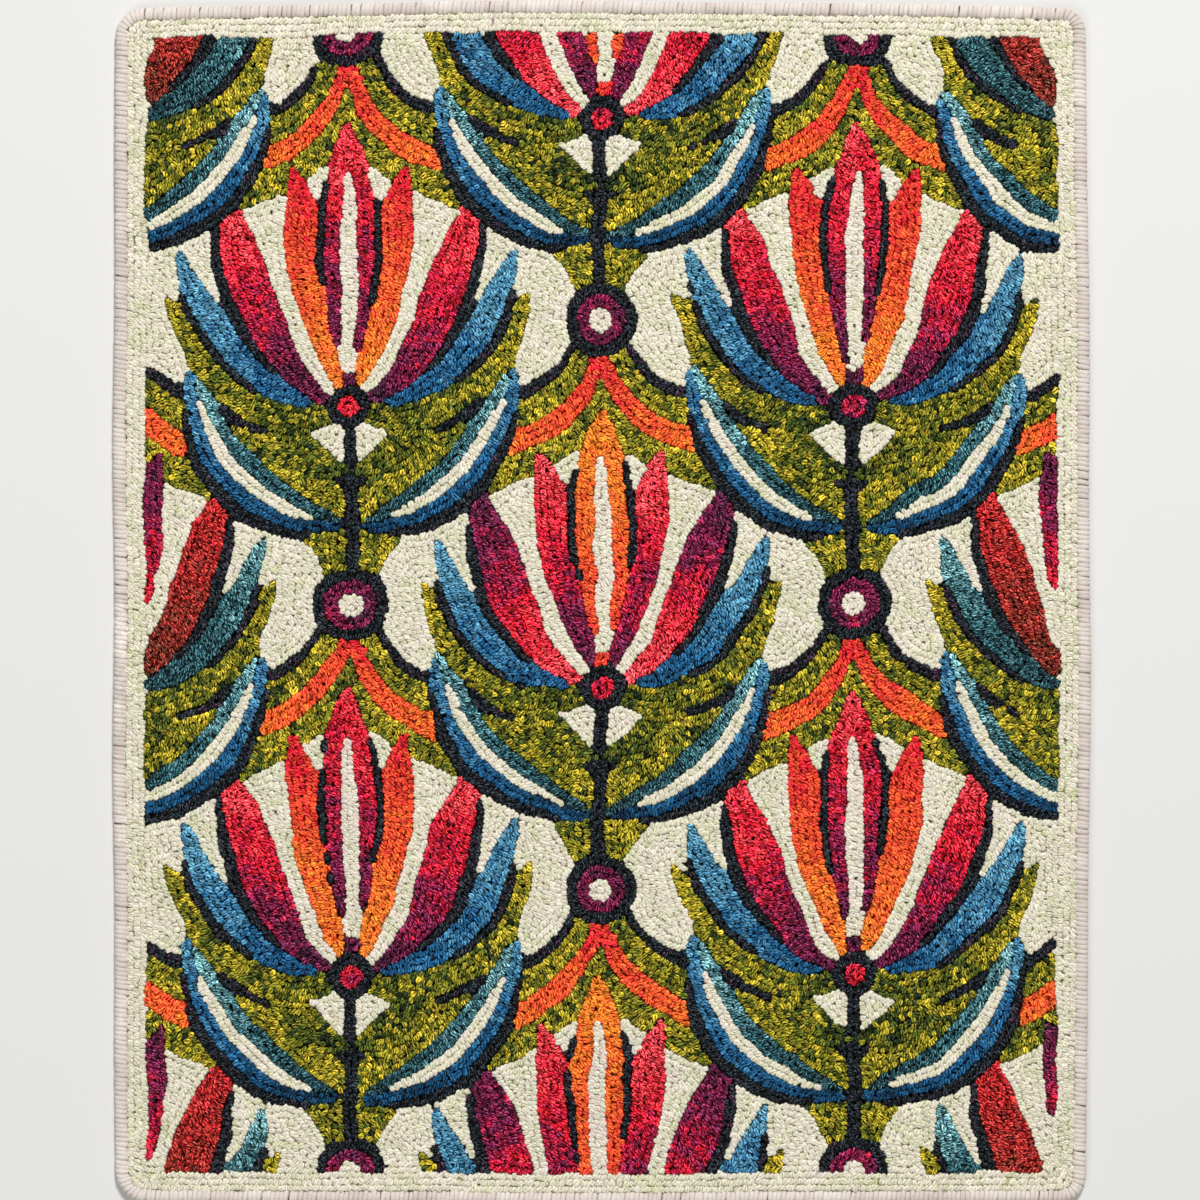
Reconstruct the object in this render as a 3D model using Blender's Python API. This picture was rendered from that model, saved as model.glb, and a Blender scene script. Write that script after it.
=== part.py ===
"""A hooked rug that lies flat with its pile up.

A rug maker cuts the foundation cloth, hooks the wool loops through it, and whips
yarn over its turned rim, so the rug is three solids: foundation, hooked_pile and
whipped_edge. Units are metres. The rug is centred on the origin and rests on
z = 0, with its width along X and its length along Y.
"""

import math

import bmesh
import bpy
from mathutils import Matrix, Vector

MM = 0.001

# Driving dimensions of the whole rug
RUG_WIDTH = 660 * MM
RUG_LENGTH = 813 * MM
GAP = 0.3 * MM  # parting between solids that touch on the real rug

# Foundation: linen with the flat backs of the loops on its underside
FOUNDATION_THICKNESS = 1.5 * MM

# Pile: wool loops, packed close enough to stand as one slab
PILE_TOP = 7.0 * MM
PILE_RIM_RADIUS = 2.0 * MM
PILE_RIM_SEGMENTS = 3

# Whipped edge: yarn wound over the turned rim, flat below and domed above
EDGE_BAND = 8.5 * MM
EDGE_HEIGHT = 7.5 * MM
EDGE_FOOT_RADIUS = 1.5 * MM
EDGE_SHOULDER = 2.8 * MM  # height at which the dome starts
EDGE_FOOT_STEPS = 2
EDGE_DOME_STEPS = 8

# Outline: the sides are taken counter-clockwise, and each starts at a rounded
# corner, bows out in the middle and wavers a little, as hand work does
SIDE_STATIONS = 20
CORNER_STEPS = 6
SIDE_COLUMNS = ("side", "corner_radius", "bow", "waver", "waves")
SIDES = (
    ("lower", 22 * MM, 1.6 * MM, 0.5 * MM, 2.5),
    ("right", 17 * MM, 3.2 * MM, 0.7 * MM, 3.0),
    ("upper", 17 * MM, 4.6 * MM, 0.6 * MM, 2.0),
    ("left", 20 * MM, 1.2 * MM, 0.8 * MM, 3.5),
)

# Material: colour, roughness
LINEN = ((0.47, 0.39, 0.27), 0.95)
PILE_WOOL = ((0.40, 0.33, 0.16), 0.90)
WHIPPING_WOOL = ((0.78, 0.70, 0.67), 0.85)


def clear_scene():
    """Removes every object that the new file came with."""
    for obj in list(bpy.data.objects):
        bpy.data.objects.remove(obj, do_unlink=True)


def new_collection(name):
    """A collection of that name, in the scene."""
    collection = bpy.data.collections.new(name)
    bpy.context.scene.collection.children.link(collection)
    return collection


def new_material(name, colour, roughness):
    """A plain cloth material: a Principled BSDF with no metal."""
    material = bpy.data.materials.new(name)
    material.use_nodes = True
    shader = material.node_tree.nodes["Principled BSDF"]
    shader.inputs["Base Color"].default_value = (*colour, 1.0)
    shader.inputs["Roughness"].default_value = roughness
    shader.inputs["Metallic"].default_value = 0.0
    return material


def turned(vector, quarter_turns):
    """A 2D vector, turned counter-clockwise by quarter turns."""
    return Matrix.Rotation(quarter_turns * math.pi / 2, 2) @ vector


def side_points(start, end, outward, side):
    """Points along one side, from one corner's arc to the next."""
    points = []
    for station in range(SIDE_STATIONS + 1):
        share = station / SIDE_STATIONS
        fade = math.sin(math.pi * share)
        ripple = math.sin(2 * math.pi * side["waves"] * share)
        lift = fade * (side["bow"] + side["waver"] * ripple)
        points.append(start.lerp(end, share) + outward * lift)
    return points


def corner_points(centre, radius, outward):
    """Points inside a corner's arc, which turns from outward by a quarter."""
    points = []
    for step in range(1, CORNER_STEPS):
        angle = step / CORNER_STEPS * math.pi / 2
        points.append(centre + Matrix.Rotation(angle, 2) @ outward * radius)
    return points


def fitted(points, width, length):
    """The points, stretched and centred so that they just fill width by length."""
    xs = [point.x for point in points]
    ys = [point.y for point in points]
    middle = Vector(((max(xs) + min(xs)) / 2, (max(ys) + min(ys)) / 2))
    scale = Vector((width / (max(xs) - min(xs)), length / (max(ys) - min(ys))))
    return [(point - middle) * scale for point in points]


def rug_outline():
    """The rug's outer outline, counter-clockwise from its lower left corner."""
    sides = [dict(zip(SIDE_COLUMNS, row)) for row in SIDES]
    points = []
    for index, side in enumerate(sides):
        run = RUG_WIDTH if index % 2 == 0 else RUG_LENGTH
        depth = RUG_LENGTH if index % 2 == 0 else RUG_WIDTH
        radius = sides[(index + 1) % len(sides)]["corner_radius"]
        first = Vector((side["corner_radius"] - run / 2, -depth / 2))
        last = Vector((run / 2 - radius, -depth / 2))
        along, outward = turned(first, index), turned(Vector((0, -1)), index)
        along_end = turned(last, index)
        points += side_points(along, along_end, outward, side)
        points += corner_points(along_end - outward * radius, radius, outward)
    return fitted(points, RUG_WIDTH, RUG_LENGTH)


def inset(points, distance):
    """A counter-clockwise outline, moved in by a distance along its normals."""
    moved = []
    for index, point in enumerate(points):
        ahead = points[(index + 1) % len(points)]
        behind = points[index - 1]
        tangent = (ahead - behind).normalized()
        inward = Vector((-tangent.y, tangent.x))
        moved.append(point + inward * distance)
    return moved


def add_slab(name, outline, bottom, top, rim_radius, collection, material):
    """A flat slab of that outline, whose upper rim may be rounded."""
    shape = bmesh.new()
    corners = [shape.verts.new((*point, bottom)) for point in outline]
    base = bmesh.ops.contextual_create(shape, geom=corners)["faces"]
    raised = bmesh.ops.extrude_face_region(shape, geom=base)["geom"]
    upper = [part for part in raised if isinstance(part, bmesh.types.BMVert)]
    bmesh.ops.translate(shape, verts=upper, vec=(0, 0, top - bottom))
    bmesh.ops.recalc_face_normals(shape, faces=shape.faces)
    if rim_radius:
        on_top = set(upper)
        rim = [edge for edge in shape.edges if on_top.issuperset(edge.verts)]
        bmesh.ops.bevel(
            shape,
            geom=rim,
            affect="EDGES",
            offset=rim_radius,
            segments=PILE_RIM_SEGMENTS,
            profile=0.5,
        )
    mesh = bpy.data.meshes.new(name)
    shape.to_mesh(mesh)
    shape.free()
    mesh.materials.append(material)
    slab = bpy.data.objects.new(name, mesh)
    collection.objects.link(slab)
    return slab


def edge_section():
    """The whipped edge's section: x across the band, y up from the floor."""
    half = EDGE_BAND / 2
    foot = EDGE_FOOT_RADIUS
    points = []
    for step in range(EDGE_FOOT_STEPS + 1):
        angle = -math.pi / 2 * (1 - step / EDGE_FOOT_STEPS)
        across = half - foot + foot * math.cos(angle)
        points.append((across, foot + foot * math.sin(angle)))
    for step in range(EDGE_DOME_STEPS + 1):
        angle = math.pi * step / EDGE_DOME_STEPS
        rise = (EDGE_HEIGHT - EDGE_SHOULDER) * math.sin(angle)
        points.append((half * math.cos(angle), EDGE_SHOULDER + rise))
    for step in range(EDGE_FOOT_STEPS + 1):
        angle = math.pi * (1 + step / EDGE_FOOT_STEPS / 2)
        across = foot - half + foot * math.cos(angle)
        points.append((across, foot + foot * math.sin(angle)))
    return points[::-1]  # clockwise, so that the swept faces point out


def add_closed_curve(name, points, collection):
    """A closed 2D curve of straight pieces through these points."""
    data = bpy.data.curves.new(name, "CURVE")
    data.dimensions = "2D"
    spline = data.splines.new("POLY")
    spline.points.add(len(points) - 1)
    for target, (x, y) in zip(spline.points, points):
        target.co = (x, y, 0, 1)
    spline.use_cyclic_u = True
    curve = bpy.data.objects.new(name, data)
    collection.objects.link(curve)
    return curve


def add_whipped_edge(outline, collection, guides, material):
    """The yarn-whipped edge: its section, swept round the middle of its band."""
    section = add_closed_curve("edge_section", edge_section(), guides)
    section.hide_render = True
    section.display_type = "WIRE"
    middle = inset(outline, EDGE_BAND / 2)
    edge = add_closed_curve("whipped_edge", middle, collection)
    edge.data.bevel_mode = "OBJECT"
    edge.data.bevel_object = section
    edge.data.fill_mode = "NONE"
    edge.data.materials.append(material)
    return edge


def build_rug():
    """Makes the three solids of the rug."""
    clear_scene()
    rug = new_collection("hooked_rug")
    guides = new_collection("guides")
    outline = rug_outline()
    field = inset(outline, EDGE_BAND + GAP)
    linen = new_material("linen", *LINEN)
    pile_wool = new_material("pile_wool", *PILE_WOOL)
    whipping_wool = new_material("whipping_wool", *WHIPPING_WOOL)
    pile_bottom = FOUNDATION_THICKNESS + GAP
    add_slab("foundation", field, 0, FOUNDATION_THICKNESS, 0, rug, linen)
    add_slab("hooked_pile", field, pile_bottom, PILE_TOP, PILE_RIM_RADIUS, rug, pile_wool)
    add_whipped_edge(outline, rug, guides, whipping_wool)


build_rug()
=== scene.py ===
"""Dresses the hooked rug: every wool loop, back stitch and turn of whipping is a mesh.

The pattern is painted on a canvas of small cells. Rows of loops then follow the edge
of each motif inwards, as a rug maker outlines a shape and fills it in. The loops of
one dyed wool are joined, and its material reads their colours, and the light and shade
painted on them, from the mesh.
"""

import math
from types import SimpleNamespace

import bpy
import numpy as np
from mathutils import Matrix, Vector


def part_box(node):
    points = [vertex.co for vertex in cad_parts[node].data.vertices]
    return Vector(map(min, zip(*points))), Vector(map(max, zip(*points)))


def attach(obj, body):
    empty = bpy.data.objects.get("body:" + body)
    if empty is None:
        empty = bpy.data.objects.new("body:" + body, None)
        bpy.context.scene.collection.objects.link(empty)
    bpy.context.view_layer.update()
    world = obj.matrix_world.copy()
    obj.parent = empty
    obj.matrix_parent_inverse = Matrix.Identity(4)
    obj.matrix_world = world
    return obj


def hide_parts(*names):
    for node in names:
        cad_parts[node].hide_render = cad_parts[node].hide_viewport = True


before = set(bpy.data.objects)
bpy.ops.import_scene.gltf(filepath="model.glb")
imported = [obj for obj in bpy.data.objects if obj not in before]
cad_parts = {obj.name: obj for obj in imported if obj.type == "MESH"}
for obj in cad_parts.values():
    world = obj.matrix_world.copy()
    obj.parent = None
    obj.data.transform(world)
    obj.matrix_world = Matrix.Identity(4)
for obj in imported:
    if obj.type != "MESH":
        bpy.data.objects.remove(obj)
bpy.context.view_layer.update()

MM = 0.001
TURN = 2 * math.pi
RNG = np.random.default_rng(7)

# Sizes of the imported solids
FIELD_LOW, FIELD_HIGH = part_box("foundation")
PILE_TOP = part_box("hooked_pile")[1].z
EDGE_LOW, EDGE_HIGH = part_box("whipped_edge")
LINEN_TOP = FIELD_HIGH.z
EDGE_BAND = 8.5 * MM
FIELD_GAP = EDGE_HIGH.x - FIELD_HIGH.x - EDGE_BAND

# Rows of loops
CELL = 1.0 * MM  # size of the canvas's cells
ROW = 4.2 * MM  # from one row of loops to the next
PITCH = 3.3 * MM  # from one loop to the next in a row
FIRST_ROW = 0.5 * ROW  # depth of a motif's outermost row
BORDER = 3 * ROW  # cream rows inside the whipped edge
RIM_MARGIN = 0.4 * ROW  # strip inside the whipping that needs no loops of its own
CROWDED = 0.72  # pitches to the next loop, below which a loop is left out
BARE = 0.62  # pitches from a loop, beyond which the cloth would show
BAR_REACH = 0.3 * ROW  # from a loop's middle to the places that stand for its ends
SETTLINGS = 2  # times that the loops push one another aside
SETTLING_SHARE = 0.7  # of the way to its even place that a loop moves each time

# Loops: lengths from the middle to an end or a side, and how unlike the loops are
LOOP_REACH = 0.58 * ROW
LOOP_HALF_WIDTH = 0.56 * PITCH
LOOP_SPREAD = 0.07  # in length and width
LOOP_ROOM = (0.9, 1.35)  # least and most that a loop grows with the room it has
LOOP_HEIGHT = (0.93, 0.05)  # mean and spread, as shares of the pile's height
LOOP_HEIGHT_SPAN = (0.75, 1.0)
LOOP_SLANT = 0.25  # radians that a loop leans from square across its row
LOOP_TURN_SPREAD = 0.18  # radians
LOOP_STRAY = 0.2 * MM  # how far a loop may lie from its even place
UNEVENNESS = 0.06  # how far a loop's points stray, as a share of its size
MOST_UNEVEN = 2  # times that
PAINTED_LIGHT_SPREAD = 0.16  # how much the painted light on a loop's points differs
MOST_TRIANGLES = 190_000  # in one piece

# Linen, and the flat backs of the loops under it
LINEN_UNDERSIDE = 0.6 * MM
THREAD = 0.98 * MM  # from one thread to the next
BACK_REACH = 0.80 * PITCH
BACK_HALF_WIDTH = 1.8 * MM
BACK_DEPTH = 0.85 * LINEN_UNDERSIDE
BACK_REACH_SPREAD = 0.05
BACK_WIDTH_SPREAD = 0.07
BACK_TURN_SPREAD = 0.10  # radians

# Whipping: yarn wound round the rim, closer than its own width
STITCH_PITCH = 3.1 * MM
YARN_WIDTH = 4.1 * MM
YARN_RISE = 0.85 * MM
TURN_STEPS = 12
STITCH_STRAY = 0.11  # turns that a stitch strays along the edge
STITCH_SLACK = 0.12 * YARN_RISE
STITCH_REACH = (-0.4 * MM, 1.0 * MM)  # least and most that a stitch reaches inwards
MOST_PROUD = 0.1 * MM  # how far a stitch may stand out of the edge's section
RIM_DEPTH = 0.8 * YARN_RISE  # how far the turned rim lies inside that section
EDGE_SHOULDER = 2.8 * MM  # height at which the edge's dome starts
EDGE_OVERLAP = 0.5 * MM  # how far the whipping lies over the field
INNER_POWER = 0.85  # powers below 1 square the section off, here inside its dome
FOOT_POWER = 0.6  # and here at its foot

# Unevenness of hand work, each as (how far, over what length)
WANDERS = ((3.0 * MM, 75 * MM), (1.5 * MM, 19 * MM), (0.6 * MM, 6 * MM))  # motifs
BORDER_WANDER = (1.6 * MM, 22 * MM)
ROW_WANDER = (0.6 * MM, 24 * MM)
TURN_WANDER = (0.35, 12 * MM)  # the loops' headings, in radians
TONE_WANDER = (0.7, 8 * MM)  # the loops' tones, as a share of their mottle
WANDER_REACH = sum(far for far, _ in WANDERS)  # of a motif's edge, at most


def named(columns, row):
    """A table's row, whose values go by the names of its columns."""
    return SimpleNamespace(**dict(zip(columns, row)))


# ---------------------------- canvas


def outline_of(node):
    """The outline of a node's flat underside, counter-clockwise: an array of x, y."""
    points = np.array([v.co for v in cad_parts[node].data.vertices])
    low = points[points[:, 2] < points[:, 2].min() + 0.01 * MM][:, :2]
    low = np.unique(low.round(6), axis=0)
    return low[np.argsort(np.arctan2(low[:, 1], low[:, 0]))]


def depth_inside(x, y, outline):
    """How far each place lies inside a closed outline, below 0 outside it."""
    nearest = np.full(x.shape, np.inf)
    inside = np.zeros(x.shape, bool)
    for start, end in zip(outline, np.roll(outline, -1, axis=0)):
        dx, dy = end - start
        share = ((x - start[0]) * dx + (y - start[1]) * dy) / (dx * dx + dy * dy)
        share = share.clip(0, 1)
        away = np.hypot(x - start[0] - share * dx, y - start[1] - share * dy)
        nearest = np.minimum(nearest, away)
        if abs(dy) > 1e-12:
            spans = (y >= min(start[1], end[1])) & (y < max(start[1], end[1]))
            inside ^= spans & (x < start[0] + (y - start[1]) / dy * dx)
    return np.where(inside, nearest, -nearest)


def soft_noise(x, y, size):
    """Smooth noise from -1 to 1 whose blobs are about that size."""
    columns = np.floor(x / size).astype(int)
    rows = np.floor(y / size).astype(int)
    u, v = x / size - columns, y / size - rows
    u, v = u * u * (3 - 2 * u), v * v * (3 - 2 * v)
    columns -= columns.min()
    rows -= rows.min()
    lattice = RNG.uniform(-1, 1, (rows.max() + 2, columns.max() + 2))
    lower = lattice[rows, columns] * (1 - u) + lattice[rows, columns + 1] * u
    upper = lattice[rows + 1, columns] * (1 - u) + lattice[rows + 1, columns + 1] * u
    return lower * (1 - v) + upper * v


def wandering(x, y, far, size):
    """How far hand work strays at each place."""
    return far * soft_noise(x, y, size)


def new_canvas(outline):
    """The rug's field as cells: their places, motif numbers, wools and tones."""
    margin = 3 * CELL
    low, high = outline.min(0) - margin, outline.max(0) + margin
    columns = np.arange(low[0], high[0], CELL)
    rows = np.arange(low[1], high[1], CELL)
    x, y = np.meshgrid(columns, rows)
    depth = depth_inside(x, y, outline)
    return SimpleNamespace(
        columns=columns,
        rows=rows,
        x=x,
        y=y,
        drawn_x=x + sum(wandering(x, y, *wander) for wander in WANDERS),
        drawn_y=y + sum(wandering(x, y, *wander) for wander in WANDERS),
        depth=depth,
        framed=depth + wandering(x, y, *BORDER_WANDER),
        motif=np.where(depth > 0, 0, -1),
        wool=np.zeros(x.shape, np.int8),
        tone=np.full(x.shape, 0.5),
        motifs=0,
    )


# ---------------------------- pattern

WOOLS = ("cream", "olive", "crimson", "orange", "blue", "teal", "black", "rust")

# Half a blade's width along its length, as a share of its widest
PROFILES = {
    "leaf": lambda t: np.sin(math.pi * t**0.9) ** 0.85,
    "petal": lambda t: np.sin(math.pi * t**1.35) ** 0.75,
    "strap": lambda t: np.ones_like(t),
    "band": lambda t: 0.45 + 0.55 * np.sin(math.pi * t),
    "vein": lambda t: np.sin(math.pi * ((t - 0.12) / 0.72).clip(0, 1)) ** 0.4,
}


def curve_through(controls, steps=26):
    """Points along the Bezier curve with these control points."""
    t = np.linspace(0, 1, steps)[:, None]
    while len(controls) > 1:
        controls = [a * (1 - t) + b * t for a, b in zip(controls, controls[1:])]
    return controls[0]


def along_and_across(path, x, y):
    """Each place's share of the path's length, and its distance from the path, which
    is above 0 on the path's left."""
    steps = np.diff(path, axis=0)
    lengths = np.hypot(*steps.T)
    run = np.concatenate([[0], np.cumsum(lengths)])
    nearest = np.full(x.shape, np.inf)
    share = np.zeros(x.shape)
    side = np.ones(x.shape)
    for start, step, length, before in zip(path, steps, lengths, run):
        dx, dy = x - start[0], y - start[1]
        t = ((dx * step[0] + dy * step[1]) / length**2).clip(0, 1)
        away = np.hypot(dx - t * step[0], dy - t * step[1])
        closer = away < nearest
        nearest[closer] = away[closer]
        share[closer] = (before + t[closer] * length) / run[-1]
        side[closer] = (step[0] * dy - step[1] * dx)[closer]
    return share, np.where(side < 0, -nearest, nearest)


def paint_blade(canvas, path, width, profile, wool, tones, half=0):
    """Paints a blade along a path: a leaf, petal, stem or band. tones are the wool's
    at the blade's start and end, and half keeps one side."""
    reach = width / 2 + WANDER_REACH
    low, high = path.min(0) - reach, path.max(0) + reach
    left, right = np.searchsorted(canvas.columns, (low[0], high[0]))
    lower, upper = np.searchsorted(canvas.rows, (low[1], high[1]))
    if left == right or lower == upper:
        return
    window = (slice(lower, upper), slice(left, right))
    x, y = canvas.drawn_x[window], canvas.drawn_y[window]
    share, across = along_and_across(path, x, y)
    covered = abs(across) < PROFILES[profile](share) * width / 2
    covered &= across * half >= 0
    covered &= canvas.framed[window] > BORDER
    canvas.motifs += 1
    canvas.motif[window][covered] = canvas.motifs
    canvas.wool[window][covered] = WOOLS.index(wool)
    tone = tones[0] + (tones[1] - tones[0]) * share
    canvas.tone[window][covered] = tone[covered]


# Lattice of curved bands that cross at rosettes
LATTICE_WIDTH = 340 * MM  # of one cell of the lattice
LATTICE_HEIGHT = 384 * MM
LATTICE_REACH = 2  # half cells each way from the middle of the rug

# Paths of a tulip's blades, of a band and of its core, in millimetres from the middle
# of a cell of the lattice. Those that leave the middle line have a mirrored twin.
PATHS = {
    "band": ((170, 0), (170, 127), (0, 65), (0, 192)),
    "core": ((110, 86), (61, 108), (0, 116), (0, 192)),
    "stem": ((0, -164), (0, -100), (0, -50)),
    "leaf": ((0, -140), (62, -132), (98, -92), (112, -26)),
    "leaflet": ((0, -104), (30, -100), (50, -78), (60, -44)),
    "sepal": ((2, -60), (44, -76), (90, -46), (124, 18)),
    "side": ((4, -56), (60, -58), (94, -20), (112, 48)),
    "outer": ((4, -54), (50, -48), (62, 12), (84, 82)),
    "inner": ((2, -54), (24, -24), (24, 44), (41, 104)),
    "middle": ((0, -58), (0, 30), (0, 134)),
}

# Blades are painted in this order, so later ones lie over earlier ones. tones are the
# wool's at the blade's start and end. half keeps only a blade's outer half (1) or
# inner half (-1).
LAYER_COLUMNS = ("path", "width", "profile", "wool", "tones", "half")
BAND_LAYERS = (
    ("band", 70, "band", "black", (0.3, 0.7), 1),
    ("band", 52, "band", "olive", (0.55, 0.55), 0),
    ("core", 15, "leaf", "orange", (0.0, 1.0), 0),
)
TULIP_LAYERS = (
    ("stem", 9, "strap", "black", (0.3, 0.3), 0),
    ("leaf", 46, "leaf", "black", (0.2, 0.6), 1),
    ("leaf", 30, "leaf", "leaf", (0, 1), 0),
    ("leaf", 30, "leaf", "teal", (0.1, 1.0), -1),
    ("leaf", 9, "vein", "cream", (0.4, 0.6), 0),
    ("leaflet", 25, "leaf", "olive", (0.2, 0.7), 0),
    ("sepal", 34, "leaf", "olive", (0.3, 0.7), 0),
    ("side", 30, "petal", "black", (0.4, 0.6), 1),
    ("side", 18, "petal", "side", (0, 1), 0),
    ("outer", 44, "petal", "black", (0.4, 0.6), 1),
    ("outer", 29, "petal", "outer", (0, 1), 0),
    ("inner", 28, "petal", "inner", (0, 1), 0),
    ("middle", 46, "petal", "black", (0.4, 0.4), 0),
    ("middle", 35, "petal", "middle", (0, 1), 0),
    ("middle", 12, "vein", "cream", (0.5, 0.8), 0),
)

# Wools and tones of the blades that differ from tulip to tulip, one colourway a row
COLOURWAY_COLUMNS = ("outer", "inner", "middle", "side", "leaf")
COLOURWAYS = (
    (
        ("crimson", (1.0, 0.0)),
        ("crimson", (0.1, 0.9)),
        ("orange", (0.9, 0.0)),
        ("blue", (0.6, 0.0)),
        ("blue", (0.8, 0.1)),
    ),
    (
        ("crimson", (0.0, 0.9)),
        ("orange", (0.0, 1.0)),
        ("crimson", (0.0, 0.8)),
        ("blue", (0.6, 0.0)),
        ("blue", (0.8, 0.1)),
    ),
    (
        ("rust", (0.0, 1.0)),
        ("crimson", (0.9, 0.1)),
        ("orange", (0.0, 0.9)),
        ("teal", (0.0, 0.9)),
        ("blue", (0.8, 0.1)),
    ),
)

# Rings of the rosettes and of the tulips' hearts: radius in millimetres, wool, tone
ROSETTE = ((24, "black", 0.4), (17, "crimson", 0.2), (8, "cream", 0.6))
HEART = ((15, "black", 0.4), (8, "crimson", 0.5))
HEART_PLACE = (0, -58 * MM)
DOT = np.array(((0, 0), (0.01, 0))) * MM  # a path too short to see


def paint_rings(canvas, centre, rings):
    """Paints discs on one centre, the largest first."""
    for radius, wool, tone in rings:
        paint_blade(canvas, centre + DOT, 2 * radius * MM, "strap", wool, (tone, tone))


def paint_layers(canvas, centre, layers, colourway):
    """Paints a motif's blades round a centre, each with its mirrored twin."""
    for row in layers:
        layer = named(LAYER_COLUMNS, row)
        wool, tones = colourway.get(layer.wool, (layer.wool, layer.tones))
        controls = np.array(PATHS[layer.path]) * MM
        for side in (1, -1) if controls[:, 0].any() else (1,):
            path = curve_through(centre + controls * (side, 1))
            half = -side * layer.half
            paint_blade(canvas, path, layer.width * MM, layer.profile, wool, tones, half)


def lattice_steps(parity):
    """Steps of half a cell from the middle of the rug, whose sum has that parity."""
    reach = range(-LATTICE_REACH, LATTICE_REACH + 1)
    steps = [(column, row) for row in reach for column in reach]
    return [step for step in steps if sum(step) % 2 == parity]


def paint_pattern(canvas):
    """Paints the lattice, the tulips in its cells, and the rosettes on its crossings."""
    half = np.array((LATTICE_WIDTH, LATTICE_HEIGHT)) / 2
    for layer in BAND_LAYERS:
        for step in lattice_steps(0):
            paint_layers(canvas, half * step, (layer,), {})
    for step in lattice_steps(0):
        colourway = dict(zip(COLOURWAY_COLUMNS, COLOURWAYS[abs(step[0])]))
        paint_layers(canvas, half * step, TULIP_LAYERS, colourway)
        paint_rings(canvas, half * step + HEART_PLACE, HEART)
    for step in lattice_steps(1):
        paint_rings(canvas, half * step, ROSETTE)
    edge = (canvas.depth > 0) & (canvas.framed <= BORDER)
    canvas.motifs += 1
    canvas.motif[edge] = canvas.motifs


def drop_slivers(canvas):
    """Gives each strip that is too thin for a row of loops to its wider neighbours."""
    wide = (motif_depth(canvas) > FIRST_ROW) & (canvas.motif >= 0)
    rows, columns = np.nonzero(wide)
    seed_x = np.full(canvas.motif.shape, np.inf, np.float32)
    seed_y = np.full(canvas.motif.shape, np.inf, np.float32)
    seed_x[rows, columns], seed_y[rows, columns] = columns, rows
    near_x, near_y, _ = flooded(seed_x, seed_y)
    nearest = near_y.astype(int), near_x.astype(int)
    given = (canvas.motif >= 0) & (canvas.motif != canvas.motif[nearest])
    for field in (canvas.wool, canvas.tone, canvas.motif):
        field[given] = field[nearest][given]


# ---------------------------- rows of loops


def shifted(size, step):
    """Two slices of an axis of that size, the second one step further along."""
    return slice(max(0, -step), size - max(0, step)), slice(max(0, step), size + min(0, step))


def flooded(seed_x, seed_y):
    """The nearest seed to every cell and its distance, by jump flooding. The given
    arrays hold the place of each cell's own seed, in cells, or infinity."""
    near_x, near_y = seed_x.copy(), seed_y.copy()
    high, wide = near_x.shape
    row, column = np.mgrid[0:high, 0:wide].astype(np.float32)
    best = np.hypot(near_x - column, near_y - row)
    jumps = [1 << power for power in range(int(math.log2(max(high, wide))), -1, -1)]
    for jump in (*jumps, 1):
        for down in (-jump, 0, jump):
            for right in (-jump, 0, jump):
                if abs(down) >= high or abs(right) >= wide:
                    continue
                here_y, there_y = shifted(high, down)
                here_x, there_x = shifted(wide, right)
                other_x = near_x[there_y, there_x].copy()
                other_y = near_y[there_y, there_x].copy()
                away = np.hypot(other_x - column[here_y, here_x], other_y - row[here_y, here_x])
                closer = away < best[here_y, here_x]
                best[here_y, here_x][closer] = away[closer]
                near_x[here_y, here_x][closer] = other_x[closer]
                near_y[here_y, here_x][closer] = other_y[closer]
    return near_x, near_y, best


def motif_depth(canvas):
    """How far each cell lies from the edge of its own motif, in metres."""
    seed_x = np.full(canvas.motif.shape, np.inf, np.float32)
    seed_y = np.full(canvas.motif.shape, np.inf, np.float32)
    rows, columns = np.nonzero(canvas.motif[:, 1:] != canvas.motif[:, :-1])
    for side in (0, 1):
        seed_x[rows, columns + side] = columns + 0.5
        seed_y[rows, columns + side] = rows
    rows, columns = np.nonzero(canvas.motif[1:] != canvas.motif[:-1])
    for side in (0, 1):
        seed_x[rows + side, columns] = columns
        seed_y[rows + side, columns] = rows + 0.5
    depth = flooded(seed_x, seed_y)[2] * CELL
    return np.where(canvas.motif < 0, 0, depth)


def level_lines(field, level):
    """The lines on which a field of cells has that level, by marching squares: a list
    of (points in cells, whether the line closes)."""
    high, wide = field.shape
    above = field > level
    flat = np.arange(high * wide).reshape(high, wide)  # names of the edges along rows
    tall = flat + high * wide  # and of those up columns
    cut_flat = np.zeros(field.shape, bool)
    cut_tall = np.zeros(field.shape, bool)
    cut_flat[:, :-1] = above[:, 1:] != above[:, :-1]
    cut_tall[:-1] = above[1:] != above[:-1]

    def around(across, up):
        """The four edges round each cell."""
        return np.stack([across[:-1, :-1], up[:-1, 1:], across[1:, :-1], up[:-1, :-1]], -1)

    edges, cuts = around(flat, tall), around(cut_flat, cut_tall)
    pairs = [edges[cuts.sum(-1) == n][cuts[cuts.sum(-1) == n]].reshape(-1, 2) for n in (2, 4)]
    names, index = np.unique(np.concatenate(pairs), return_inverse=True)
    links = [[] for _ in names]
    for a, b in index.reshape(-1, 2).tolist():
        links[a].append(b)
        links[b].append(a)
    is_tall = names >= high * wide
    row, column = np.divmod(names - is_tall * high * wide, wide)
    ahead = field[row + is_tall, column + ~is_tall]
    share = (level - field[row, column]) / (ahead - field[row, column])
    places = np.stack([column + share * ~is_tall, row + share * is_tall], 1)
    lines = []
    used = np.zeros(len(names), bool)
    for start in sorted(range(len(names)), key=lambda name: len(links[name])):
        if used[start]:
            continue
        line = [start]
        while line[-1] is not None:
            used[line[-1]] = True
            line.append(next((name for name in links[line[-1]] if not used[name]), None))
        line.pop()
        lines.append((places[line], len(line) > 2 and line[0] in links[line[-1]]))
    return lines


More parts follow.
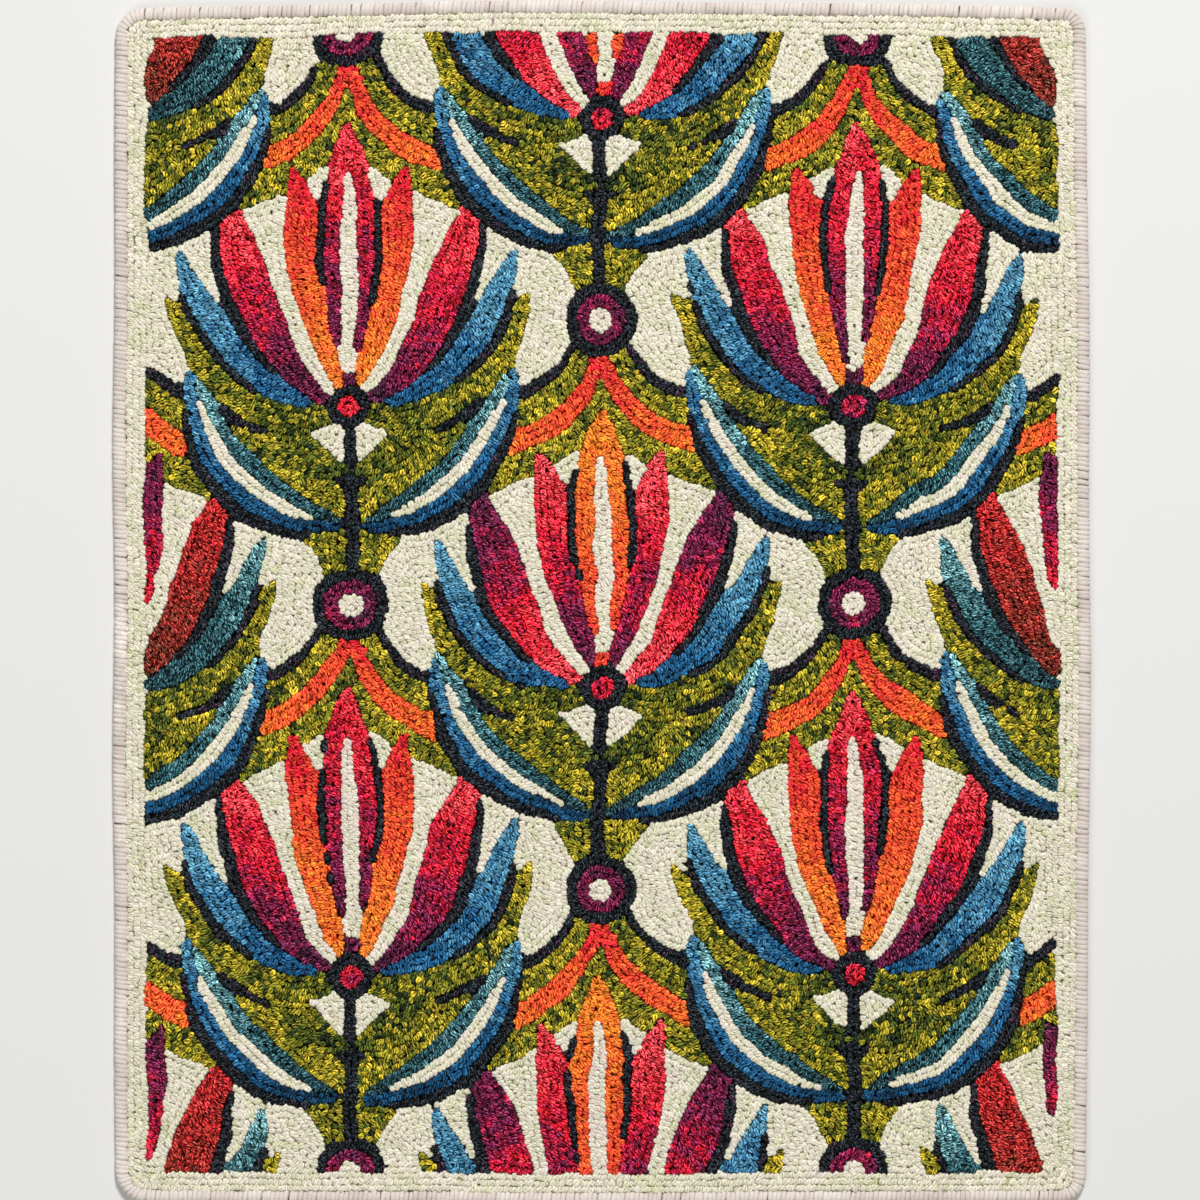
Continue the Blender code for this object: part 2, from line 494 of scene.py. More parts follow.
def spaced(line, closed, pitch):
    """Even places along a line, about one pitch apart, and the headings there."""
    if closed:
        line = np.concatenate([line, line[:1]])
    run = np.concatenate([[0], np.cumsum(np.hypot(*np.diff(line, axis=0).T))])
    count = int(round(run[-1] / pitch))
    at = (np.arange(count) + 0.5) * run[-1] / max(count, 1)

    def point(distance):
        """Places that far along the line."""
        distance = distance % run[-1] if closed else distance.clip(0, run[-1])
        return np.stack([np.interp(distance, run, line[:, axis]) for axis in (0, 1)], 1)

    ahead = point(at + pitch / 2) - point(at - pitch / 2)
    return point(at), np.arctan2(ahead[:, 1], ahead[:, 0])


def hooked_rows(canvas):
    """Every loop of the pile: its place, its row's heading, the room that it has, its
    wool and its tone. Rows wander more the further they lie from their motif's edge."""
    depth = motif_depth(canvas)
    inner = (depth / (2 * ROW)).clip(0, 1)
    hooked = depth + wandering(canvas.x, canvas.y, *ROW_WANDER) * inner
    places, headings = [], []
    for level in np.arange(FIRST_ROW, hooked.max(), ROW):
        for line, closed in level_lines(hooked, level):
            place, heading = spaced(line, closed, PITCH / CELL)
            places.append(place)
            headings.append(heading)
    place, heading = uncrowded(canvas, np.concatenate(places), np.concatenate(headings))
    place, heading = fill_gaps(canvas, place, heading)
    column, row = np.round(place).astype(int).T
    motif = canvas.motif[row, column]
    for _ in range(SETTLINGS):
        place, room = settled(canvas, place, motif)
    return SimpleNamespace(
        place=place * CELL + (canvas.columns[0], canvas.rows[0]),
        heading=heading,
        room=np.sqrt(room * CELL**2 / (ROW * PITCH)).clip(*LOOP_ROOM),
        wool=canvas.wool[row, column],
        tone=canvas.tone[row, column],
    )


def nearest_loop(canvas, place):
    """The number of the loop nearest to each cell, and how far away it is."""
    column, row = np.round(place).astype(int).T
    owner = np.zeros(canvas.motif.shape, int)
    owner[row, column] = np.arange(len(place))
    seed_x = np.full(owner.shape, np.inf, np.float32)
    seed_y = np.full(owner.shape, np.inf, np.float32)
    seed_x[row, column], seed_y[row, column] = place.T
    near_x, near_y, away = flooded(seed_x, seed_y)
    return owner[np.round(near_y).astype(int), np.round(near_x).astype(int)], away


def settled(canvas, place, motif):
    """The places, each moved towards the middle of the cells that are nearest to it in
    its own motif, as packed loops push one another aside, and how many those are."""
    owner, _ = nearest_loop(canvas, place)
    rows, columns = np.nonzero(canvas.motif == motif[owner])
    names = owner[rows, columns]
    count = np.bincount(names, minlength=len(place))
    middle = [np.bincount(names, at, len(place)) / count.clip(1) for at in (columns, rows)]
    moved = place + SETTLING_SHARE * (np.stack(middle, 1) - place)
    return np.where(count[:, None] > 0, moved, place), count


def disc(radius):
    """Steps to every cell nearer than a radius, in cells: down and right."""
    reach = range(-int(radius), int(radius) + 1)
    steps = [(down, right) for down in reach for right in reach]
    return np.array([step for step in steps if math.hypot(*step) < radius]).T


def uncrowded(canvas, place, heading):
    """The places and headings without those that crowd an earlier one."""
    free = np.ones(canvas.motif.shape, bool)
    down, right = disc(CROWDED * PITCH / CELL)
    kept = []
    for index, (column, row) in enumerate(np.round(place).astype(int).tolist()):
        if free[row, column]:
            free[row + down, column + right] = False
            kept.append(index)
    return place[kept], heading[kept]


def bar_cells(place, heading):
    """Three places along the bar that a loop makes across its row, in cells."""
    step = np.stack([-np.sin(heading), np.cos(heading)], -1) * BAR_REACH / CELL
    return np.concatenate([place - step, place, place + step])


def fill_gaps(canvas, place, heading):
    """Adds single loops where the rows leave the cloth bare: at tips and down the
    middles of motifs. Each takes the heading of the nearest loop."""
    high, wide = canvas.motif.shape
    taken = canvas.depth < RIM_MARGIN
    down, right = disc(BARE * PITCH / CELL)

    def take(places, headings):
        """Marks the cells that these loops cover."""
        column, row = np.round(bar_cells(places, headings)).astype(int).T
        rows, columns = row[:, None] + down, column[:, None] + right
        taken[rows.clip(0, high - 1), columns.clip(0, wide - 1)] = True

    take(place, heading)
    nearest, away = nearest_loop(canvas, place)
    rows, columns = np.nonzero(~taken)
    added, turned = [], []
    for index in np.argsort(-away[rows, columns], kind="stable"):
        row, column = rows[index], columns[index]
        if not taken[row, column]:
            added.append((column, row))
            turned.append(heading[nearest[row, column]])
            take(np.array(added[-1:]), np.array(turned[-1:]))
    return np.concatenate([place, added]), np.concatenate([heading, turned])


# ---------------------------- meshes


def ring_faces(rings, sides, closed=False, tube=True):
    """Triangles that join each ring of points to the next one."""
    faces = []
    for ring in range(rings if closed else rings - 1):
        here = ring * sides
        there = (ring + 1) % rings * sides
        for side in range(sides if tube else sides - 1):
            after = (side + 1) % sides
            faces.append((here + side, here + after, there + after))
            faces.append((here + side, there + after, there + side))
    return faces


# A loop seen from above is a short fat bar: two plies that lie aslant, with a slit
# between them. Points of its foot and of its crest in turn, and the bottom of its slit,
# in units of its own: x along the bar and y across it from -1 to 1, z from the cloth at
# 0 to 1, and the painted light there: painted shade at the foot and in the slit, full
# light on the crest. Its foot is hidden among its neighbours.
LOOP_FOOT = (
    (1.20, 0.0, 0.48, 0.0),
    (1.00, 1.22, 0.48, 0.0),
    (-1.00, 1.22, 0.48, 0.0),
    (-1.20, 0.0, 0.48, 0.0),
    (-1.00, -1.22, 0.48, 0.0),
    (1.00, -1.22, 0.48, 0.0),
)
LOOP_CREST = (
    (0.80, -0.30, 0.84, 0.7),
    (0.64, 0.26, 0.97, 1.0),
    (-0.22, 0.60, 1.0, 1.0),
    (-0.80, 0.30, 0.84, 0.7),
    (-0.64, -0.26, 0.97, 1.0),
    (0.22, -0.60, 1.0, 1.0),
)
LOOP_SLIT = ((0.42, -0.20, 0.82, 0.45), (-0.42, 0.20, 0.82, 0.45))
SLIT_ENDS = (0, 0, 1, 1, 1, 0)  # the end of the slit that is nearest to each crest point


def loop_template():
    """Points and faces of one loop."""
    sides = len(LOOP_FOOT)
    faces = ring_faces(2, sides)
    slit = 2 * sides
    for side, end in enumerate(SLIT_ENDS):
        after = (side + 1) % sides
        faces.append((sides + side, sides + after, slit + end))
        if SLIT_ENDS[after] != end:
            faces.append((sides + after, slit + 1 - end, slit + end))
    return np.array([*LOOP_FOOT, *LOOP_CREST, *LOOP_SLIT]), np.array(faces)


def back_template():
    """The same for the flat back of one loop: a low pad along the row, whose lowest
    line lies aslant, as the loop's plies do. Its painted light leaves its sides in
    shade and lights it along that lowest line."""
    points = [
        (-1.0, -0.35, 0.0, 0.5),
        (0.75, -0.9, -1.0, 0.8),
        (1.0, 0.35, 0.0, 0.5),
        (-0.75, 0.9, -1.0, 0.8),
    ]
    return np.array(points), np.array([(0, 3, 1), (1, 3, 2)])


def mesh_object(name, points, faces, material, smooth=True, **values):
    """A mesh object from arrays. Each further array is a point attribute. Its map lies
    flat over the whole rug, so that its texture can be baked as seen from above."""
    mesh = bpy.data.meshes.new(name)
    mesh.vertices.add(len(points))
    mesh.vertices.foreach_set("co", points.astype(np.float32).ravel())
    mesh.loops.add(faces.size)
    mesh.loops.foreach_set("vertex_index", faces.astype(np.int32).ravel())
    mesh.polygons.add(len(faces))
    mesh.polygons.foreach_set("loop_start", np.arange(0, faces.size, 3, dtype=np.int32))
    mesh.polygons.foreach_set("use_smooth", np.full(len(faces), smooth))
    mesh.update(calc_edges=True)
    for key, value in values.items():
        kind, field = ("FLOAT", "value") if value.ndim == 1 else ("FLOAT_VECTOR", "vector")
        attribute = mesh.attributes.new(key, kind, "POINT")
        attribute.data.foreach_set(field, value.astype(np.float32).ravel())
    share = (points[:, :2] - EDGE_LOW.xy) / (EDGE_HIGH - EDGE_LOW).y
    flat_map = mesh.uv_layers.new(name="OFBake")
    flat_map.data.foreach_set("uv", share[faces.ravel()].astype(np.float32).ravel())
    mesh.materials.append(material)
    obj = bpy.data.objects.new(name, mesh)
    bpy.context.scene.collection.objects.link(obj)
    return obj


def add_copies(name, template, loops, members, size, turn, base, material):
    """One mesh of a template at each of these loops: stretched to size (an array of
    lengths, widths and heights), turned from the row's heading, and set on base."""
    points, faces = template
    shape = points[:, :3]
    count = len(members)
    # A strand's third value is the painted light on that point, which differs at random from
    # point to point
    strand = np.tile(points[:, (0, 1, 3)], (count, 1))
    strand[:, 2] *= 1 + PAINTED_LIGHT_SPREAD * RNG.standard_normal(len(strand))
    stray = RNG.standard_normal((count, *shape.shape)).clip(-MOST_UNEVEN, MOST_UNEVEN)
    scaled = shape * (1 + UNEVENNESS * stray) * size[:, None, :]
    angle = (loops.heading[members] + turn)[:, None]
    place = loops.place[members] + LOOP_STRAY * RNG.standard_normal((count, 2))
    x = place[:, 0, None] + scaled[..., 0] * np.cos(angle) - scaled[..., 1] * np.sin(angle)
    y = place[:, 1, None] + scaled[..., 0] * np.sin(angle) + scaled[..., 1] * np.cos(angle)
    points = np.stack([x, y, base + scaled[..., 2]], 2)
    joined = faces[None] + len(shape) * np.arange(count)[:, None, None]
    return mesh_object(
        name,
        points.reshape(-1, 3),
        joined.reshape(-1, 3),
        material,
        tone=np.repeat(loops.shown_tone[members], len(shape)),
        shade=np.repeat(loops.shade[members], len(shape)),
        strand=strand,
    )


def varied(size, spread, count):
    """A size that differs from one to the next by that share."""
    return size * RNG.normal(1, spread, count)


def add_pile(loops, number, material):
    """The loops of one wool, each a bar across its row, in pieces of a fair size."""
    template = loop_template()
    chosen = np.flatnonzero(loops.wool == number)
    chosen = chosen[np.argsort(loops.place[chosen, 1], kind="stable")]
    parts = math.ceil(len(chosen) * len(template[1]) / MOST_TRIANGLES)
    pieces = []
    for part, members in enumerate(np.array_split(chosen, parts)):
        count = len(members)
        room = loops.room[members]
        length = varied(LOOP_REACH * room, LOOP_SPREAD, count)
        width = varied(LOOP_HALF_WIDTH * room, LOOP_SPREAD, count)
        share = RNG.normal(*LOOP_HEIGHT, count).clip(*LOOP_HEIGHT_SPAN)
        size = np.stack([length, width, (PILE_TOP - LINEN_TOP) * share], 1)
        turn = TURN / 4 - LOOP_SLANT + wandering(*loops.place[members].T, *TURN_WANDER)
        turn += RNG.normal(0, LOOP_TURN_SPREAD, count)
        name = f"{WOOLS[number]}_loops_{part + 1}"
        piece = add_copies(name, template, loops, members, size, turn, LINEN_TOP, material)
        pieces.append(piece)
    return pieces


def add_backs(loops, number, material):
    """The backs of one wool's loops, which run along their rows under the linen."""
    members = np.flatnonzero(loops.wool == number)
    count = len(members)
    length = varied(BACK_REACH, BACK_REACH_SPREAD, count)
    width = varied(BACK_HALF_WIDTH, BACK_WIDTH_SPREAD, count)
    size = np.stack([length, width, np.full(count, BACK_DEPTH)], 1)
    turn = RNG.normal(0, BACK_TURN_SPREAD, count)
    name = f"{WOOLS[number]}_backs"
    base = LINEN_UNDERSIDE
    return add_copies(name, back_template(), loops, members, size, turn, base, material)


def add_foundation(outline, material):
    """The linen: a thin slab that the loops come up through."""
    count = len(outline)
    rims = [np.column_stack([outline, np.full(count, z)]) for z in (LINEN_UNDERSIDE, LINEN_TOP)]
    middles = [(0.0, 0.0, LINEN_UNDERSIDE), (0.0, 0.0, LINEN_TOP)]
    faces = ring_faces(2, count)
    for side in range(count):
        after = (side + 1) % count
        faces.append((2 * count, after, side))
        faces.append((2 * count + 1, count + side, count + after))
    points = np.concatenate([*rims, middles])
    return mesh_object("linen_foundation", points, np.array(faces), material, smooth=False)


# ---------------------------- whipped edge


def edge_section(swing, grow):
    """Places round the whipped edge's section, as it swings from 0 out of the rug:
    out from the section's middle, and up from the floor. Its inner side meets the
    first row of loops, and its foot stays above the floor."""
    cos, sin = np.cos(swing), np.sin(swing)
    power = np.where(sin > 0, np.where(cos < 0, INNER_POWER, 1.0), FOOT_POWER)
    reach = EDGE_BAND / 2 + grow + np.where(cos < 0, FIELD_GAP + EDGE_OVERLAP, 0.0)
    out = reach * np.sign(cos) * abs(cos) ** power
    rise = np.where(sin > 0, EDGE_HIGH.z - EDGE_SHOULDER, EDGE_SHOULDER) + grow
    return out, (EDGE_SHOULDER + rise * np.sign(sin) * abs(sin) ** power).clip(0)


def edge_track(outline):
    """The line down the middle of the whipped edge: its run, its places and which way
    it heads, ending where it starts."""
    field, heading = spaced(outline, closed=True, pitch=1 * MM)
    outward = np.stack([np.sin(heading), -np.cos(heading)], 1)
    middle = field + outward * (FIELD_GAP + EDGE_BAND / 2)
    middle = np.concatenate([middle, middle[:1]])
    heading = np.unwrap(np.append(heading, heading[0]))
    run = np.concatenate([[0], np.cumsum(np.hypot(*np.diff(middle, axis=0).T))])
    return run, middle, heading


def edge_points(track, distance, swing, grow):
    """Points on the whipped edge, that far along its track and round its section."""
    run, middle, heading = track
    distance = distance % run[-1]
    x, y, angle = (np.interp(distance, run, line) for line in (*middle.T, heading))
    out, up = edge_section(swing, grow)
    return np.stack([x + np.sin(angle) * out, y - np.cos(angle) * out, up + 0 * x], -1)


def add_rim(track, material):
    """The linen, turned up round its cord, under the whipping."""
    stations, sides = 400, 16
    distance = np.arange(stations)[:, None] / stations * track[0][-1]
    swing = np.arange(sides)[None] / sides * TURN
    points = edge_points(track, distance, swing, -RIM_DEPTH)
    faces = np.array(ring_faces(stations, sides, closed=True))
    return mesh_object("turned_rim", points.reshape(-1, 3), faces, material)


# The yarn's rounded outer side: places across it, and how far each stands up, which
# also sets its painted light: mild painted shade at its edges, full light along its top
YARN_ACROSS = np.array((-1.0, -0.6, 0.0, 0.6, 1.0))
YARN_UP = np.array((0.0, 0.7, 1.0, 0.7, 0.0))


def add_whipping(track, material):
    """The whipping: one long yarn, wound round and round the rim. Its turns stray by
    random values at knots, two to a turn, which are set evenly along the yarn."""
    length = track[0][-1]
    turns = round(length / STITCH_PITCH)
    wound = np.arange(turns * TURN_STEPS) / TURN_STEPS
    knots = np.arange(2 * turns + 1) / 2

    def eased(values):
        """The knots' values at each step round the rim."""
        return np.interp(wound, knots, values)

    stray = eased(RNG.normal(0, STITCH_STRAY, len(knots)))
    slack = eased(RNG.normal(0, STITCH_SLACK, len(knots)))
    inward = eased(RNG.uniform(*STITCH_REACH, len(knots)))
    shade = eased(RNG.random(len(knots)))
    swing = (wound * TURN)[:, None]
    distance = (wound + stray)[:, None] * length / turns + YARN_ACROSS * YARN_WIDTH / 2
    grow = ((YARN_UP - 1) * YARN_RISE + slack[:, None]).clip(None, MOST_PROUD)
    grow += inward[:, None] * -np.cos(swing).clip(-1, 0)
    points = edge_points(track, distance, swing, grow)
    faces = np.array(ring_faces(len(wound), len(YARN_UP), closed=True, tube=False))
    # A strand's third value, how far the yarn stands up, is its painted light
    strand = np.broadcast_arrays(wound[:, None], YARN_ACROSS, YARN_UP)
    return mesh_object(
        "whipping",
        points.reshape(-1, 3),
        faces,
        material,
        strand=np.stack(strand, -1).reshape(-1, 3),
        shade=np.repeat(shade, len(YARN_UP)),
    )


# ---------------------------- materials


def linear(colour):
    """An 8-bit display colour as linear light, for a colour socket."""
    shares = [channel / 255 for channel in colour]
    light = [s / 12.92 if s <= 0.04045 else ((s + 0.055) / 1.055) ** 2.4 for s in shares]
    return (*light, 1.0)


class Nodes:
    """Adds and links the nodes of one material."""

    def __init__(self, name, roughness):
        self.material = bpy.data.materials.new(name)
        self.material.use_nodes = True
        self.tree = self.material.node_tree
        self.shader = self.tree.nodes["Principled BSDF"]
        self.shader.inputs["Roughness"].default_value = roughness

    def add(self, kind, inputs=None, **settings):
        """A node of that kind. Each input is a value or another node's output."""
        node = self.tree.nodes.new(kind)
        for key, value in settings.items():
            setattr(node, key, value)
        for key, value in (inputs or {}).items():
            self.feed(node.inputs[key], value)
        return node

    def feed(self, socket, value):
        """Sets a socket to a value, or links another node's output to it."""
        if isinstance(value, bpy.types.NodeSocket):
            self.tree.links.new(value, socket)
        else:
            socket.default_value = value

    def maths(self, operation, first, second=0.0, third=0.0):
        """What an operation makes of its values."""
        values = {0: first, 1: second, 2: third}
        return self.add("ShaderNodeMath", values, operation=operation).outputs[0]

    def attribute(self, name, output="Fac"):
        """A point attribute of the mesh."""
        return self.add("ShaderNodeAttribute", attribute_name=name).outputs[output]

    def place(self):
        """Places on the rug, in metres."""
        return self.add("ShaderNodeTexCoord").outputs["Object"]

    def noise(self, size):
        """Noise from 0 to 1 whose blobs are about that size."""
        inputs = {"Vector": self.place(), "Scale": 1 / size}
        return self.add("ShaderNodeTexNoise", inputs).outputs["Fac"]

    def ramp(self, value, stops):
        """Display colours along a value: stops of (position, colour)."""
        node = self.add("ShaderNodeValToRGB", {"Fac": value})
        elements = node.color_ramp.elements
        for number, (position, colour) in enumerate(stops):
            stop = elements[number] if number < 2 else elements.new(position)
            stop.position = position
            stop.color = linear(colour)
        return node.outputs["Color"]

    def between(self, value, before, after):
        """A value, eased from one span into another."""
        inputs = {"Value": value, "From Min": before[0], "From Max": before[1]}
        inputs.update({"To Min": after[0], "To Max": after[1]})
        eased = self.add("ShaderNodeMapRange", inputs, interpolation_type="SMOOTHSTEP")
        return eased.outputs[0]

    def toned(self, colour, gamma):
        """A colour, deeper where gamma is above 1 and paler where it is below."""
        return self.add("ShaderNodeGamma", {"Color": colour, "Gamma": gamma}).outputs[0]

    def dimmed(self, colour, light, added=(0.0, 0.0, 0.0)):
        """A colour, multiplied by a value, with another colour added."""
        inputs = {0: colour, 1: light, 2: added}
        return self.add("ShaderNodeVectorMath", inputs, operation="MULTIPLY_ADD").outputs[0]

    def bump(self, height, distance):
        """The surface's normal, with a height that goes up to that distance."""
        inputs = {"Height": height, "Distance": distance}
        return self.add("ShaderNodeBump", inputs).outputs["Normal"]

    def finish(self, colour, normal):
        """The material, with its colour and its bump."""
        self.feed(self.shader.inputs["Base Color"], colour)
        self.feed(self.shader.inputs["Normal"], normal)
        return self.material


# How each yarn looks: mottle is how much the tone differs from loop to loop, crease
# how dark the shade painted in the creases between the strands is, glint how strong the
# painted light and shade streaked along its fibres are, and shine how bright the
# highlight painted on its crests is
LOOK_COLUMNS = ("mottle", "crease", "glint", "shine")
LOOKS = {
    "cream": (0.11, 0.44, 0.14, 0.00),
    "olive": (0.20, 0.95, 0.95, 0.25),
    "crimson": (0.07, 0.95, 0.95, 1.00),
    "orange": (0.10, 0.82, 0.75, 0.20),
    "blue": (0.08, 0.95, 0.85, 0.12),
    "teal": (0.08, 0.95, 0.95, 1.10),
    "black": (0.16, 0.95, 0.95, 1.40),
    "rust": (0.12, 0.95, 0.95, 1.05),
    "whipping": (0.00, 0.30, 0.18, 0.00),
}

# Display colours at places from 0 to 1 on each ramp. A wool's is the ramp of its tones.
DYES = {
    "cream": (
        (0.0, (214, 216, 170)),
        (0.3, (226, 224, 194)),
        (0.6, (240, 233, 215)),
        (1.0, (235, 219, 208)),
    ),
    "olive": (
        (0.0, (28, 46, 22)),
        (0.3, (86, 98, 26)),
        (0.6, (156, 146, 34)),
        (1.0, (214, 188, 52)),
    ),
    "crimson": (
        (0.0, (62, 10, 42)),
        (0.3, (122, 12, 58)),
        (0.6, (218, 10, 36)),
        (1.0, (250, 76, 84)),
    ),
    "orange": ((0.0, (255, 150, 46)), (0.5, (255, 100, 50)), (1.0, (232, 34, 54))),
    "blue": (
        (0.0, (104, 166, 192)),
        (0.4, (36, 102, 146)),
        (0.8, (14, 56, 84)),
        (1.0, (8, 26, 42)),
    ),
    "teal": ((0.0, (12, 44, 50)), (0.6, (38, 90, 98)), (1.0, (122, 180, 184))),
    "black": ((0.0, (5, 7, 12)), (0.6, (7, 14, 19)), (1.0, (34, 10, 30))),
    "rust": ((0.0, (88, 36, 14)), (1.0, (200, 28, 30))),
    "whipping": ((0.3, (220, 205, 196)), (0.7, (244, 233, 222))),
    "linen": ((0.2, (122, 104, 78)), (1.0, (196, 178, 146))),
}

# Fibres of a strand, for which noise stands
WOOL_FIBRES = (1.0, 3.4)  # about how many lie along and across a strand
WHIPPING_FIBRES = (3.0, 2.4)
FIBRE_TWIST = 0.4  # how far they run across the strand, for a step along it
FIBRE_BEND = 0.8  # most that they curve, one way or the other
FIBRE_CHANGE = 40.0  # how much the noise changes with a strand's shade
STREAK_SPAN = (0.38, 0.62)  # noise from the darkest fibre to the lightest, in painted light and shade
STREAK_GAIN = 1.2  # how much more painted light the lightest takes than the darkest loses
LOOP_GAIN = 0.5  # how much the light differs from loop to loop, as a share of glint
SHINE_SPAN = (0.54, 0.66)  # noise from a dull fibre to one with a painted highlight
SHINE_GAMMA = 0.4  # how pale the dye is in a painted highlight
CREST_SPAN = (0.3, 0.85)  # painted light on a strand, from its crease to its crest
CREASE_SHADE_GAMMA = 1.5  # painted shade: how much deeper and darker the dye is in a crease

PATCH_SIZE = 20 * MM  # of the lighter and darker patches in a wool
PATCH_TONES = 0.50  # from the lightest patch to the darkest
WHIPPING_PATCH = 30 * MM
SLUB = 0.6 * MM  # size of the linen's uneven spots
LINEN_SHADE = 0.88  # painted shade: share of the light that the linen's upper side loses, between the loops and round the rim under the whipping


def yarn_colour(nodes, dye, look, fibre_count):
    """A dye on a yarn with painted light: painted shade that deepens and darkens it down
    its sides and in its creases by the look's crease, and painted highlights streaked by
    its glint and its shine, with that many fibres along and across a strand. Returns the
    colour and the fibres' height."""
    split = nodes.add("ShaderNodeSeparateXYZ", {0: nodes.attribute("strand", "Vector")})
    x, y, lit = split.outputs
    shade = nodes.attribute("shade")
    bend = nodes.maths("MULTIPLY_ADD", shade, 2 * FIBRE_BEND, -FIBRE_BEND)
    twist = nodes.maths("MULTIPLY_ADD", x, bend, FIBRE_TWIST)
    twisted = nodes.maths("MULTIPLY_ADD", x, twist, y)
    place = {
        "X": nodes.maths("MULTIPLY", x, fibre_count[0]),
        "Y": nodes.maths("MULTIPLY", twisted, fibre_count[1]),
        "Z": nodes.maths("MULTIPLY", shade, FIBRE_CHANGE),
    }
    inputs = {"Vector": nodes.add("ShaderNodeCombineXYZ", place).outputs[0], "Scale": 1.0}
    fibres = nodes.add("ShaderNodeTexNoise", inputs).outputs["Fac"]
    # Painted light: shade in the creases, full light on the crests, streaked along the fibres
    crest = nodes.between(lit, CREST_SPAN, (0.0, 1.0))
    light = nodes.maths("MULTIPLY_ADD", crest, look.crease, 1 - look.crease)
    lightest = 1 + STREAK_GAIN * look.glint
    streak = nodes.between(fibres, STREAK_SPAN, (1 - look.glint, lightest))
    gain = LOOP_GAIN * look.glint
    loop = nodes.maths("MULTIPLY_ADD", shade, gain, 1 - gain / 2)
    light = nodes.maths("MULTIPLY", nodes.maths("MULTIPLY", light, streak), loop)
    # Painted shade: the dye deepens down in the creases
    depth = nodes.maths("MULTIPLY_ADD", crest, 1 - CREASE_SHADE_GAMMA, CREASE_SHADE_GAMMA)
    # Painted highlight: a paler dye added on the crests of the fibres that shine
    shine = nodes.between(fibres, SHINE_SPAN, (0.0, look.shine))
    shine = nodes.maths("MULTIPLY", shine, crest)
    bright = nodes.dimmed(nodes.toned(dye, SHINE_GAMMA), shine)
    return nodes.dimmed(nodes.toned(dye, depth), light, bright), fibres


def wool_material(wool):
    """Dyed wool: a ramp of its tones, in patches, with painted shade between the loops
    and painted highlights on their crests.
    """
    nodes = Nodes(f"{wool}_wool", roughness=0.5)
    nodes.shader.inputs["Specular IOR Level"].default_value = 0.1
    noise = nodes.noise(PATCH_SIZE)
    patches = nodes.maths("MULTIPLY_ADD", noise, PATCH_TONES, -PATCH_TONES / 2)
    tone = nodes.maths("ADD", nodes.attribute("tone"), patches)
    look = named(LOOK_COLUMNS, LOOKS[wool])
    colour, height = yarn_colour(nodes, nodes.ramp(tone, DYES[wool]), look, WOOL_FIBRES)
    return nodes.finish(colour, nodes.bump(height, distance=0.5 * MM))


def whipping_material():
    """Pinkish white yarn, a little uneven along the edge, with painted shade down the sides
    of each turn and faint streaks of painted light along it.
    """
    nodes = Nodes("whipping_yarn", roughness=0.8)
    nodes.shader.inputs["Sheen Weight"].default_value = 0.2
    nodes.shader.inputs["Sheen Roughness"].default_value = 0.5
    dye = nodes.ramp(nodes.noise(WHIPPING_PATCH), DYES["whipping"])
    look = named(LOOK_COLUMNS, LOOKS["whipping"])
    colour, height = yarn_colour(nodes, dye, look, WHIPPING_FIBRES)
    return nodes.finish(colour, nodes.bump(height, distance=0.3 * MM))


def linen_material():
    """Plain-woven linen: threads that pass over and under one another, with painted shade
    on its upper side and on the turned rim, where the pile and the whipping cover it.
    """
    nodes = Nodes("linen", roughness=0.9)
    split = nodes.add("ShaderNodeSeparateXYZ", {0: nodes.place()})
    waves = [
        nodes.maths("SINE", nodes.maths("MULTIPLY", split.outputs[axis], math.pi / THREAD))
        for axis in "XY"
    ]
    weave = nodes.maths("MULTIPLY_ADD", nodes.maths("MULTIPLY", *waves), 0.5, 0.5)
    height = nodes.maths("MULTIPLY_ADD", nodes.noise(SLUB), 0.5, weave)
    colour = nodes.ramp(height, DYES["linen"])
    # Painted shade on everything above the linen's underside: its upper side and its turned rim
    under_pile = nodes.maths("GREATER_THAN", split.outputs["Z"], 0.9 * LINEN_TOP)
    shade = nodes.maths("MULTIPLY_ADD", under_pile, -LINEN_SHADE, 1.0)
    return nodes.finish(nodes.dimmed(colour, shade), nodes.bump(height, distance=0.2 * MM))


# ---------------------------- camera and light

# Lamps: name, place, size and power, in metres and watts
LAMPS = (
    ("key", (1.0, 4.0, 4.5), 1.3, 365),
    ("fill", (-2.4, -3.6, 4.5), 3.0, 117),
)
WORLD_COLOUR = (236, 238, 242)
WORLD_LIGHT = 0.24
FLOOR_COLOUR = (222, 221, 218)
FLOOR_DROP = 0.2 * MM  # from the rug's underside to the floor


def add_stage():
    """A plain pale floor, just below the rug."""
    bpy.ops.mesh.primitive_plane_add(size=8, location=(0, 0, -FLOOR_DROP))
    floor = bpy.context.object
    floor.name = "floor"
    paint = Nodes("floor_paint", roughness=0.9)
    paint.shader.inputs["Base Color"].default_value = linear(FLOOR_COLOUR)
    floor.data.materials.append(paint.material)


def add_light(name, place, size, power):
    """A soft square lamp that points at the rug's middle."""
    lamp = bpy.data.objects.new(name, bpy.data.lights.new(name, "AREA"))
    lamp.data.size = size
    lamp.data.energy = power
    lamp.location = place
    lamp.rotation_euler = (-Vector(place)).to_track_quat("-Z", "Y").to_euler()
    bpy.context.scene.collection.objects.link(lamp)


